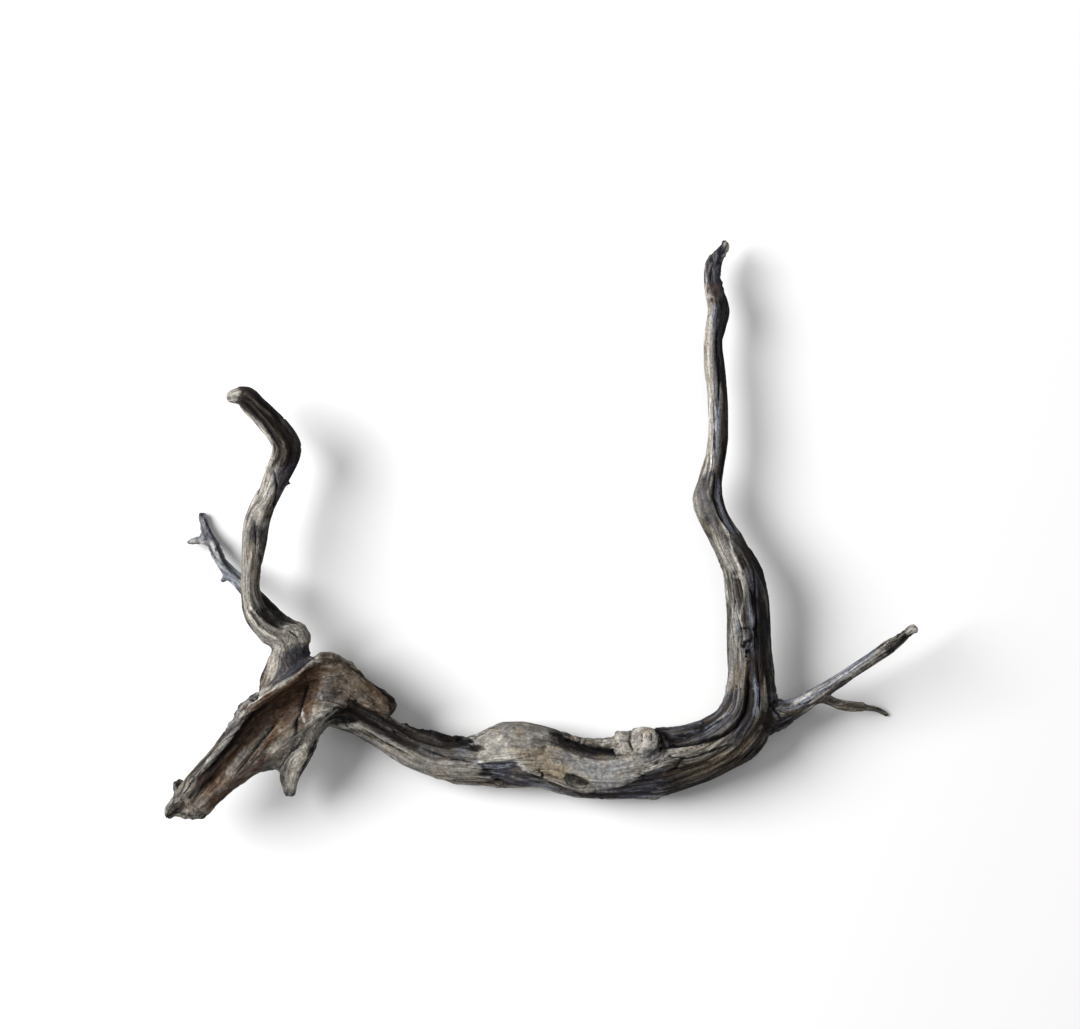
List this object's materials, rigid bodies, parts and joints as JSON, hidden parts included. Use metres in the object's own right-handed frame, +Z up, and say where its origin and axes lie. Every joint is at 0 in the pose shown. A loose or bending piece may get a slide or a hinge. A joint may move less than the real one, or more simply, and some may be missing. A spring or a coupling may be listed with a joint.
{
  "type": "driftwood piece",
  "caption": "Dry branched driftwood root with a hollowed, broken root plate, a bent trunk, upright branches and fine twigs, lying on a flat surface.",
  "frame": {"origin": "middle of the piece's box in X and Y, on the surface that it rests on", "axes": "+X along the trunk, from the root plate to the fine branches; +Y along the tall branch, from the trunk to its tip; +Z up"},
  "size_m": [0.5878, 0.4551, 0.0754],
  "materials": {
    "bare_wood": "bare dry driftwood, matt, silver-grey and tan streaks over dark slate grain, brown in the hollow"
  },
  "bodies": {
    "root": {"driftwood": "bare_wood"}
  },
  "joints": []
}
